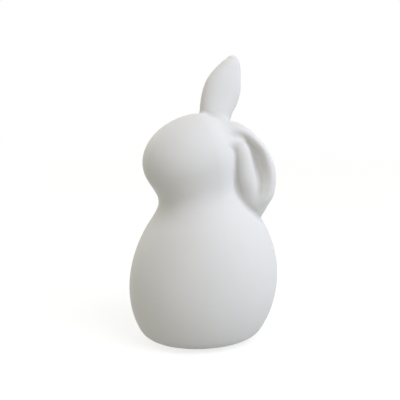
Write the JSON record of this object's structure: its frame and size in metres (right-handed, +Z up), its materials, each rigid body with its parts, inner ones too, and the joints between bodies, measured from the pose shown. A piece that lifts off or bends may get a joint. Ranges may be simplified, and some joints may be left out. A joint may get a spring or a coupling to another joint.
{
  "type": "rabbit figurine",
  "caption": "Hollow cast ceramic rabbit ornament with a pear-shaped body, a round plain head, an ear that stands up and an ear that hangs down the nape, on felt pads.",
  "frame": {"origin": "on the surface that the figure stands on, under the middle of the whole figure", "axes": "+Z up, -Y the way the rabbit looks, +X the rabbit's left"},
  "size_m": [0.0894, 0.0974, 0.1826],
  "materials": {
    "matt_ceramic": "matt, fine dry glaze",
    "felt": "short felt"
  },
  "bodies": {
    "root": {"torso_shell": "matt_ceramic", "head_shell": "matt_ceramic", "upright_ear": "matt_ceramic", "drooping_ear": "matt_ceramic", "foot_pad_1": "felt", "foot_pad_2": "felt", "foot_pad_3": "felt", "foot_pad_4": "felt"}
  },
  "joints": []
}
